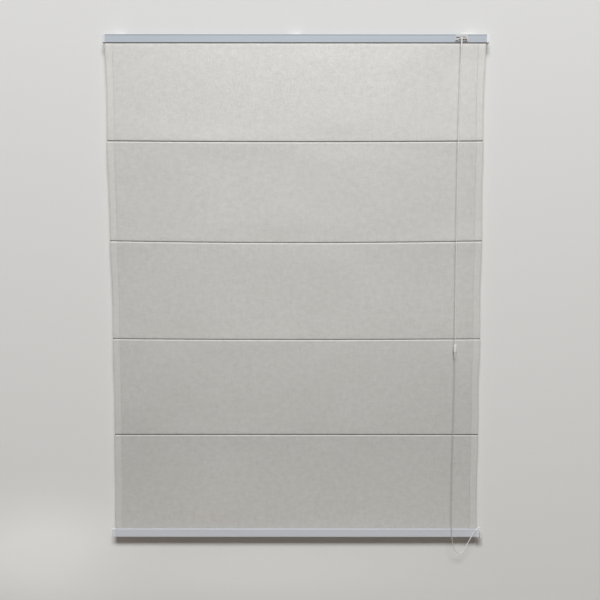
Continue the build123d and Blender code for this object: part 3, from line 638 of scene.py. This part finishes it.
# Cords
def lift_cord(side, x, lane):
    """One lift cord in three lengths: behind the cloth, inside the rail, and in front."""
    node = f"lift_cord_{side}"
    off = lane * LANE
    y = LANE_MID_Y + off
    turn_z = CORD_Z - off
    fan_z = CORD_Z - 0.75 * off

    rear_route = [(x, y, CORD_FOOT), (x, y, -0.8), (x, y, RAIL_FOOT)]
    rear, path, length = cord_tube(node + "_rear", rear_route, CORD_RADIUS)
    stand_in(rear, node, "head")
    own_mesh(rear)

    mouth = (LOCK_X + off, RAIL_FRONT, CORD_Z)
    fan_in = ((FAN_START_X + FAN_END_X) / 2, y + (LOCK_LANE_Y - y) / 4, fan_z)
    fan_out = (LOCK_X + 0.75 * off, FAN_OUT_Y, fan_z)
    rail_route = [
        (x, y, RAIL_FOOT),
        (x, y, CORD_Z - PULLEY_STEP),
        (x, y, CORD_Z),
        (x + PULLEY_STEP, y, CORD_Z),
        (FAN_START_X, y, CORD_Z),
        *([fan_in] if lane else []),
        (FAN_END_X, LOCK_LANE_Y, turn_z),
        (LOCK_X, LOCK_LANE_Y, turn_z),
        (LOCK_X, LOCK_LANE_Y - PULLEY_STEP, turn_z),
        *([fan_out] if lane else []),
        mouth,
    ]
    inside, *_ = cord_tube(node + "_in_rail", rail_route, CORD_RADIUS)
    stand_in(inside, node, "head")

    front_route = [
        mouth,
        (LOCK_X + off, STRAND_Y - 0.0001, CORD_Z + 0.0003),
        (LOCK_X + off, STRAND_Y, CORD_Z - PULLEY_STEP),
    ]
    for strand_x, z, sideways, depth in STRAND_ROUTE:
        front_route.append((strand_x + sideways * off, STRAND_Y + depth * off, z))
    front, path, length = cord_tube(node + "_front", front_route, CORD_RADIUS)
    stand_in(front, node)
    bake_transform(front)


def pull_cord():
    cord, path, length = cord_tube("pull_cord_draped", PULL_ROUTE, PULL_RADIUS)
    stand_in(cord, "pull_cord", "pull")


for side, x, lane in COLUMNS:
    lift_cord(side, x, lane)
pull_cord()


# Cloth
def rib_sag(x, z):
    """How far the cloth's lines sink between the sides at this height."""
    lines = list(zip((RAIL_FOOT, *RIB_HEIGHTS, BAR_HEAD), (0.0, *RIB_SAGS, 0.0)))
    share = 1.0 - min(1.0, (x / CLOTH_HALF) ** 2)
    for (above, sag_above), (below, sag_below) in zip(lines, lines[1:]):
        if below <= z <= above:
            return share * (sag_above + (sag_below - sag_above) * (above - z) / (above - below))
    return 0.0


def ripple(size, x, z, seed):
    """A soft irregular wave."""
    return size * noise.noise(Vector((x, z, seed)))


def cloth_ease(x, z, top, foot):
    """How far the cloth stands back from its plane: broad waves inside a panel, puckers along its seams."""
    from_top, from_foot = top - z, z - foot
    free = soft_step(clamp(min(from_top, from_foot) / 0.06))
    wave = ripple(0.0022, x * 2.3, z * 2.6, 4.0) + ripple(0.0009, x * 6.5, z * 5.0, 9.0)
    pucker = ripple(0.00045, x * 46.0, top * 7.0, 2.0) * math.exp(-from_top / 0.016)
    pucker += ripple(0.00045, x * 46.0, foot * 7.0, 5.0) * math.exp(-from_foot / 0.016)
    pucker += 0.0004 * math.exp(-from_foot / 0.0035)
    if top == RAIL_FOOT:
        pucker -= 0.0006 * soft_step(clamp((from_top - 0.002) / 0.005)) * math.exp(-from_top / 0.045)
    side = max(0.0, abs(x) / CLOTH_HALF - 0.93) / 0.07
    curl = side * side * ripple(0.0020, x * 0.7, z * 5.5, 1.0)
    return free * (wave + curl) + pucker


def side_reach(x, number, share):
    """How far a panel's side stands outside the cloth's line, a share of the way down the panel."""
    start, end = SIDE_REACH[math.copysign(1, x)][number]
    return start + (end - start) * soft_step(share)


def side_shift(x, z, top, foot, number):
    """How far a point moves sideways with its panel's side, which draws in a little between the ribs."""
    share = clamp((top - z) / (top - foot))
    reach = side_reach(x, number, share)
    reach -= 0.0022 * math.sin(math.pi * share) ** 2
    reach -= ripple(0.0012, math.copysign(3.0, x), z * 9.0, 0.0)
    near = max(0.0, abs(x) / CLOTH_HALF - 0.6) / 0.4
    return math.copysign(near * near, x) * reach


def pull_out(bm, edges, step):
    """Extrude open edges by one step, and return the new outer edges."""
    made = bmesh.ops.extrude_edge_only(bm, edges=edges)["geom"]
    verts = {v for v in made if isinstance(v, bmesh.types.BMVert)}
    for v in verts:
        v.co += Vector(step(v.co))
    return [e for e in bm.edges if verts.issuperset(e.verts) and len(e.link_faces) == 1]


def draw_across(bm, edges, width, steps):
    """Extrude a section across the blind in equal steps, and return its far edges."""
    for _ in range(steps):
        made = bmesh.ops.extrude_edge_only(bm, edges=edges)["geom"]
        moved = {v for v in made if isinstance(v, bmesh.types.BMVert)}
        bmesh.ops.translate(bm, verts=list(moved), vec=(width / steps, 0, 0))
        edges = [e for e in made if isinstance(e, bmesh.types.BMEdge) and moved.issuperset(e.verts)]
    return edges


def sag_as_line(bm, height):
    """Let a straight piece sag as the cloth's line does at that height, and turn its faces outwards."""
    for v in bm.verts:
        v.co.z -= rib_sag(v.co.x, height)
    bmesh.ops.recalc_face_normals(bm, faces=bm.faces)


def write_uv(bm):
    """Flat coordinates of the cloth, in metres, for the weave."""
    layer = bm.loops.layers.uv.new("cloth_uv")
    for face in bm.faces:
        for loop in face.loops:
            loop[layer].uv = (loop.vert.co.x, loop.vert.co.z)


def cloth_piece(name, bm, body):
    """A piece of the cloth, with the cloth's thickness."""
    piece = new_piece(name, bm, CREAM_CLOTH)
    wall = piece.modifiers.new("thickness", "SOLIDIFY")
    wall.thickness = CLOTH_THICKNESS
    wall.offset = 0.0
    stand_in(piece, "fabric", body)
    return piece


def add_panel(bm, top, foot):
    """One flat panel, with close rows near its ends, and side hems folded to the back."""
    made = bmesh.ops.create_grid(bm, x_segments=196, y_segments=28, size=0.5)["verts"]
    for v in made:
        across, down = v.co.x, 0.5 - v.co.y
        down -= 0.8 * math.sin(math.tau * down) / math.tau
        v.co = (2 * across * CLOTH_HALF, CLOTH_Y, top + (foot - top) * down)
    outer = {v for v in made if abs(v.co.x) > CLOTH_HALF - 1e-5}
    hem = [e for e in bm.edges if outer.issuperset(e.verts)]
    fold = 0.0003
    for inwards, back in ((-fold, fold), (fold, 2 * fold), (HEM / 2, 0), (HEM / 2, -fold / 6)):
        hem = pull_out(bm, hem, lambda co: (-math.copysign(1, co.x) * inwards, back, 0))


def add_lip(bm, panel, edge_z, steps):
    """Turn one end of a panel back and up into its groove."""
    end = {v for v in panel if abs(v.co.z - edge_z) < 1e-6 and v.co.y < CLOTH_Y + 1e-5}
    lip = [e for e in bm.edges if end.issuperset(e.verts)]
    for back, up in steps:
        lip = pull_out(bm, lip, lambda co: (0, back, up))


def make_cloth():
    """The five panels in one piece."""
    bm = bmesh.new()
    tops = (RAIL_FOOT, *(z - GROOVE_DROP for z in RIB_HEIGHTS))
    feet = (*(z + GROOVE_RISE for z in RIB_HEIGHTS), BAR_HEAD)
    panels = []
    for top, foot in zip(tops, feet):
        before = set(bm.verts)
        add_panel(bm, top, foot)
        add_lip(bm, set(bm.verts) - before, top, LOWER_LIP)
        add_lip(bm, set(bm.verts) - before, foot, UPPER_LIP)
        panels.append((set(bm.verts) - before, top, foot))
    write_uv(bm)
    for number, (panel, top, foot) in enumerate(panels):
        for v in panel:
            x, z = v.co.x, v.co.z
            v.co.x += side_shift(x, z, top, foot, number)
            v.co.y += cloth_ease(x, z, top, foot)
            v.co.z -= rib_sag(x, z)
    cloth = cloth_piece("cloth_panels", bm, "head")
    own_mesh(cloth)
    return cloth


def cloth_strip(name, profile, left, right, height, body, steps=96):
    """A strip of cloth of one section, drawn out across the blind. It sags with the line at that height."""
    bm = bmesh.new()
    verts = [bm.verts.new((left, y, z)) for y, z in profile]
    draw_across(bm, [bm.edges.new(pair) for pair in zip(verts, verts[1:])], right - left, steps)
    write_uv(bm)
    sag_as_line(bm, height)
    return cloth_piece(name, bm, body)


def rod_pocket(number, height):
    """The tuck sewn round one rib rod: down one wall of the groove, round the rod and back."""
    loop_radius = ROD_RADIUS + 0.0007
    neck = 0.00042
    turns = 22
    opening = math.asin(neck / loop_radius)
    profile = [(CLOTH_Y + 0.0018, height + 0.0016), (CLOTH_Y + 0.0020, height + 0.0009)]
    for i in range(turns + 1):
        angle = math.pi - opening - i * (math.tau - 2 * opening) / turns
        profile.append((ROD_Y + loop_radius * math.cos(angle), height + loop_radius * math.sin(angle)))
    profile += [(CLOTH_Y + 0.0020, height - 0.0009), (CLOTH_Y + 0.0018, height - 0.0014)]
    left, right = (
        side * (CLOTH_HALF + min(side_reach(side, number - 1, 1.0), side_reach(side, number, 0.0)))
        for side in (-1, 1)
    )
    return cloth_strip(f"rib_pocket_{number}", profile, left, right, height, f"rib_{number}")


def end_loop(name, loop_y, loop_z, mouth_z, body):
    """The loop round the flat spline that holds an end of the cloth."""
    half_depth, half_height = 0.0020, 0.0012
    toward = 1 if loop_z > mouth_z else -1
    neck_z = loop_z - toward * half_height
    profile = [(CLOTH_Y, mouth_z), (CLOTH_Y, neck_z)]
    for dy, dz in ((1, -1), (1, 1), (-1, 1), (-1, -1)):
        profile.append((loop_y + dy * half_depth, loop_z + toward * dz * half_height))
    profile.append((CLOTH_Y - 0.0004, neck_z))
    return cloth_strip(name, profile, -CLOTH_HALF, CLOTH_HALF, mouth_z, body, steps=24)


cloth = make_cloth()
pockets = [rod_pocket(number, height) for number, height in enumerate(RIB_HEIGHTS, start=1)]
top_loop = end_loop("cloth_loop_in_rail", -0.0232, -0.0097, RAIL_FOOT, "head")
bar_loop = end_loop("cloth_loop_in_bar", -0.0240, -1.5653, BAR_HEAD, "bar")


# Rib rods
def rib_rod(number, height):
    """One rod, bent by its own weight as the cloth's line is."""
    bm = bmesh.new()
    bmesh.ops.create_circle(bm, cap_ends=False, radius=ROD_RADIUS, segments=16)
    for v in bm.verts:
        v.co = (-ROD_HALF, ROD_Y + v.co.x, height + v.co.y)
    start = list(bm.edges)
    bmesh.ops.contextual_create(bm, geom=start)
    end = draw_across(bm, start, 2 * ROD_HALF, steps=48)
    bmesh.ops.contextual_create(bm, geom=end)
    sag_as_line(bm, height)
    rod = new_piece(f"rib_rod_{number}_bent", bm, ROD_FIBRE)
    stand_in(rod, f"rib_rod_{number}", f"rib_{number}")


for number, height in enumerate(RIB_HEIGHTS, start=1):
    rib_rod(number, height)


# Wall, floor and light
def matt_paint(name, colour):
    """Matt paint with a fine grain, and its colour for more to be laid over."""
    paint = Finish(name)
    grain = paint.noise(paint.place((140, 140, 140)), 4.0, 0.6)
    low = tuple(0.985 * c for c in colour)
    paint.set(Specular_IOR_Level=0.1, Roughness=0.9)
    paint.finish(normal=paint.bump(grain, 0.06, 0.0004))
    return paint, paint.ramp(grain, (0.3, low), (0.7, colour))


def wall_finish():
    """The wall has its painted pools of light, and is clear from behind and to the light behind it."""
    paint, colour = matt_paint("wall_paint", (0.72, 0.72, 0.71))
    for x, z, half_width, half_height, paler in WALL_POOLS:
        place = paint.place((1 / half_width, 1, 1 / half_height))
        reach = paint.distance(place, (x / half_width, 0, z / half_height))
        pool = paint.ramp(reach, (0.0, 1.0), (0.25, 0.92), (0.5, 0.5), (0.75, 0.14), (1.0, 0.0))
        colour = paint.cover(colour, pool, paler)
    paint.finish(colour)
    back = paint.node("NewGeometry").outputs["Backfacing"]
    shadow = paint.node("LightPath").outputs["Is Shadow Ray"]
    clear = paint.math("MAXIMUM", back, shadow)
    paint.show("Material Output", clear, paint.shader, paint.node("BsdfTransparent"))
    return paint.material


def floor_finish():
    """The floor looks pale, and throws a weaker and browner light up at the blind."""
    paint, colour = matt_paint("floor_paint", (0.70, 0.70, 0.69))
    return paint.finish(paint.mix("MIX", paint.seen(), (0.205, 0.155, 0.12), colour))


def stage_plane(name, corners, material):
    bm = bmesh.new()
    bm.faces.new([bm.verts.new(corner) for corner in corners])
    new_piece(name, bm, material, smooth=False)


stage_plane(
    "wall", ((-5, 0, FLOOR_Z), (5, 0, FLOOR_Z), (5, 0, 3), (-5, 0, 3)), wall_finish(),
)
stage_plane(
    "floor", ((-5, -6, FLOOR_Z), (5, -6, FLOOR_Z), (5, 4, FLOOR_Z), (-5, 4, FLOOR_Z)), floor_finish(),
)


def area_lamp(name, place, aim, width, height, power, colour, spread=180):
    light = bpy.data.lights.new(name, "AREA")
    light.shape = "RECTANGLE"
    light.size, light.size_y = width, height
    light.energy = power
    light.color = colour
    light.spread = math.radians(spread)
    lamp = bpy.data.objects.new(name, light)
    lamp.location = place
    lamp.rotation_mode = "QUATERNION"
    lamp.rotation_quaternion = (Vector(aim) - Vector(place)).to_track_quat("-Z", "Y")
    lamp.visible_camera = False
    scene.collection.objects.link(lamp)


def room_light():
    """A faint sky that lights the blind, and a pale grey one to look at."""
    world = bpy.data.worlds.new("room")
    scene.world = world
    world.use_nodes = True
    room = Nodes(world.node_tree)
    sky = room.tree.nodes["Background"]
    sky.inputs["Color"].default_value = (0.93, 0.97, 1.0, 1.0)
    sky.inputs["Strength"].default_value = 0.12
    backdrop = room.node("Background")
    backdrop.inputs["Color"].default_value = (0.68, 0.68, 0.67, 1.0)
    room.show("World Output", room.seen(), sky, backdrop)


# A narrow beam through the wall shows the back of the blind and misses all that is seen from the front
area_lamp(
    "light_on_the_back", (0.0, 2.4, -0.78), (0.0, 0.0, -0.78),
    width=1.3, height=1.6, power=2.6, colour=(1.0, 1.0, 1.0), spread=10,
)
area_lamp(
    "ceiling_light", (0.2, -6.5, 7.4), (0.0, 0.0, -0.8),
    width=6.0, height=2.2, power=1290.0, colour=(0.985, 0.995, 1.0),
)
room_light()
scene.view_settings.view_transform = "Standard"
